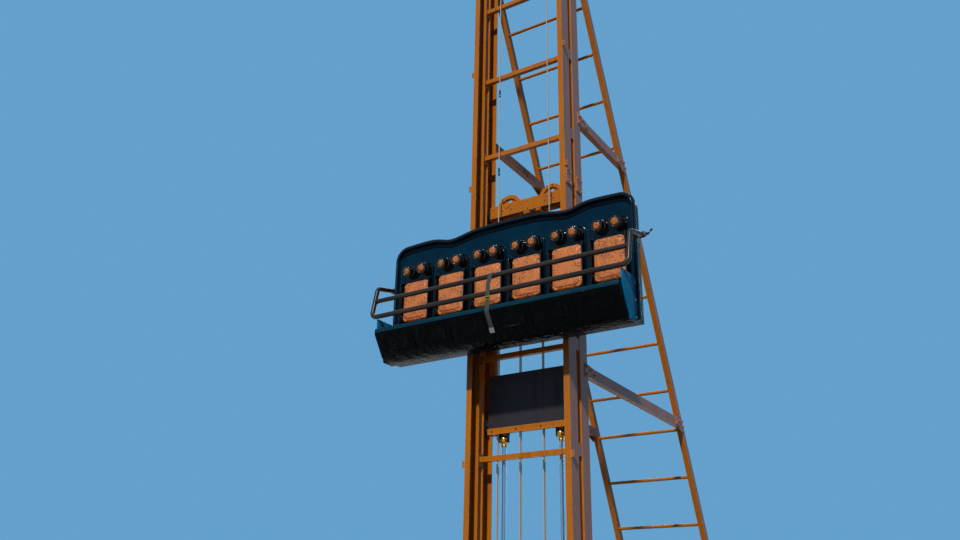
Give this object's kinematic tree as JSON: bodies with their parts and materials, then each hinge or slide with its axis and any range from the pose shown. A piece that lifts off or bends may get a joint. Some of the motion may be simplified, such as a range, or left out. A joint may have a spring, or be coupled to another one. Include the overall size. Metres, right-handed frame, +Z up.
{
  "type": "drop tower ride",
  "caption": "Free-standing drop tower ride: a wide bench car with a hinged lap bar runs on a twin-column mast with leaning rear ladder stay and a ram-driven rope hoist.",
  "frame": {"origin": "on the floor, under the middle of the mast's foot box", "axes": "+Z up, +X to the bench's left-hand riders (right in the picture), -Y is the front that the bench faces"},
  "size_m": [2.977, 5.8858, 9.7949],
  "materials": {
    "orange_paint": "weathered orange-ochre paint",
    "shade_paint": "dark violet-brown paint",
    "black_paint": "semi-gloss black paint",
    "bar_paint": "worn dark grey powder coat",
    "zinc_steel": "zinc plated",
    "cast_steel": "machined cast steel",
    "wire_rope": "galvanised wire rope",
    "chrome": "hard chrome",
    "brass": "yellow passivated",
    "roller_plastic": "black polyamide",
    "blue_shell": "glossy petrol blue gelcoat",
    "blue_panel": "glossy blue gelcoat",
    "black_moulding": "glossy black gelcoat",
    "black_rubber": "matt black edge rubber",
    "pad_cloth": "worn salmon-orange vinyl with grey speckle",
    "webbing": "grey woven webbing"
  },
  "bodies": {
    "tower": {"base_box": "orange_paint", "base_sills": "orange_paint", "base_cross_beams": "orange_paint", "levelling_feet": "zinc_steel", "left_front_channel": "orange_paint", "left_rear_channel": "orange_paint", "right_front_channel": "orange_paint", "right_rear_channel": "orange_paint", "mast_rungs": "orange_paint", "mast_fittings": "orange_paint", "left_rear_rail": "orange_paint", "right_rear_rail": "orange_paint", "ladder_rungs": "orange_paint", "stay_ties": "orange_paint", "tie_gussets": "orange_paint", "mast_head": "orange_paint", "head_sheaves": "cast_steel", "head_rope_turns": "wire_rope", "ride_ropes": "wire_rope", "hoist_falls": "wire_rope", "rope_sockets": "zinc_steel", "ram_barrels": "black_paint", "ram_clamps": "orange_paint"},
    "lift_frame": {"lift_beam": "orange_paint", "lift_posts": "orange_paint", "lift_plate": "shade_paint", "rod_eyes": "brass", "piston_rods": "chrome", "lift_rollers": "roller_plastic", "sheave_rope_turns": "wire_rope"},
    "sheave_left": {"sheave_left": "orange_paint"},
    "sheave_right": {"sheave_right": "orange_paint"},
    "car": {"car_frame": "orange_paint", "car_rollers": "roller_plastic", "rope_clamps": "zinc_steel", "back_shell": "blue_shell", "shell_bead": "black_rubber", "shell_ribs": "blue_shell", "bench": "black_moulding", "seat_pads": "pad_cloth", "seat_backs": "black_moulding", "back_pads": "pad_cloth", "headrest_pads": "pad_cloth", "end_panels": "blue_panel", "bar_hinges": "zinc_steel", "latch_handle": "black_paint", "strap_lower": "webbing"},
    "bar": {"lap_bar": "bar_paint", "strap_upper": "webbing", "strap_buckle": "zinc_steel"}
  },
  "joints": [
    {"name": "car_lift", "type": "slide", "parent": "tower", "child": "car", "axis": [0, 0, 1], "range_m": [-4, 3.2], "deforming": ["ride_ropes"]},
    {"name": "lift_slide", "type": "slide", "parent": "tower", "child": "lift_frame", "axis": [0, 0, 1], "range_m": [-1, 0.8], "deforming": ["hoist_falls"]},
    {"name": "sheave_left_spin", "type": "hinge", "parent": "lift_frame", "child": "sheave_left", "pos_m": [-0.26, 0.1165, 6.055], "axis": [0, 1, 0], "range_deg": [-460, 460]},
    {"name": "sheave_right_spin", "type": "hinge", "parent": "lift_frame", "child": "sheave_right", "pos_m": [0.26, 0.1165, 6.055], "axis": [0, 1, 0], "range_deg": [-460, 460]},
    {"name": "bar_swing", "type": "hinge", "parent": "car", "child": "bar", "pos_m": [0, -0.35, 5.14], "axis": [-1, 0, 0], "range_deg": [0, 85]}
  ],
  "couplings": [
    {"joint": "lift_slide", "follows": "car_lift", "ratio": 0.25},
    {"joint": "sheave_left_spin", "follows": "car_lift", "rad_per_m": 1.9231},
    {"joint": "sheave_right_spin", "follows": "car_lift", "rad_per_m": -1.9231}
  ]
}
